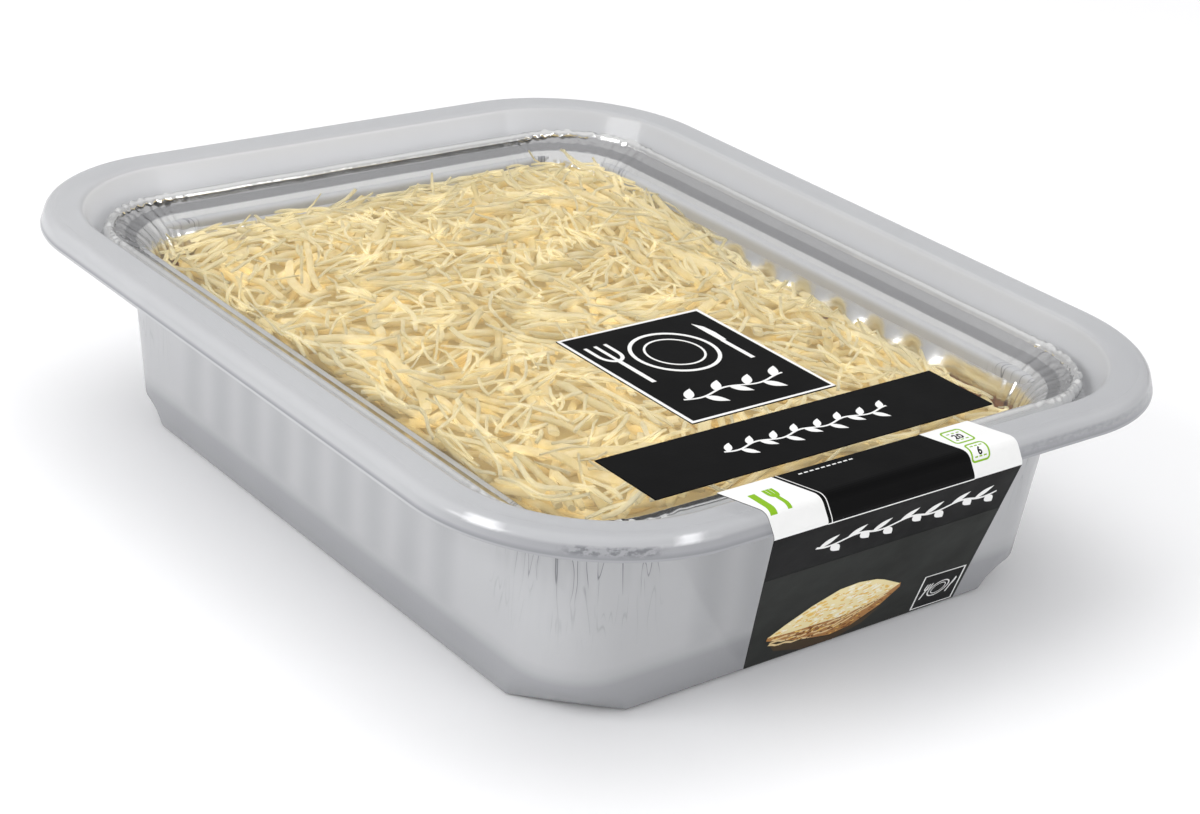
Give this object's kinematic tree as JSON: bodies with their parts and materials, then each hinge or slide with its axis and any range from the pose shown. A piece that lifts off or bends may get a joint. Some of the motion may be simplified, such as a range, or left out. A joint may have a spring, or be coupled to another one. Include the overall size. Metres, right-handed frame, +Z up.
{
  "type": "foil tray meal",
  "caption": "Chilled lasagne under grated cheese in a fluted foil tray, sealed under clear film in a frosted plastic tray with a dark label folded over its front edge.",
  "frame": {"origin": "middle of the flat base that the pack stands on", "axes": "+Z up out of the sealed top, +Y along the pack's length away from the front label, +X across its width"},
  "size_m": [0.14, 0.1714, 0.0413],
  "materials": {
    "frosted_plastic": "frosted translucent polypropylene",
    "foil": "bright pressed foil",
    "filling": "moist sauce, orange red",
    "cheese": "waxy pale yellow cheese",
    "clear_film": "clear film, taut",
    "film_print": "black print with white lines",
    "label_paper": "satin printed label"
  },
  "bodies": {
    "root": {"outer_tray": "frosted_plastic", "foil_tray": "foil", "lasagne": "filling", "grated_cheese": "cheese", "lidding_film": "clear_film", "film_label_square": "film_print", "film_label_band": "film_print", "front_label": "label_paper"}
  },
  "joints": []
}
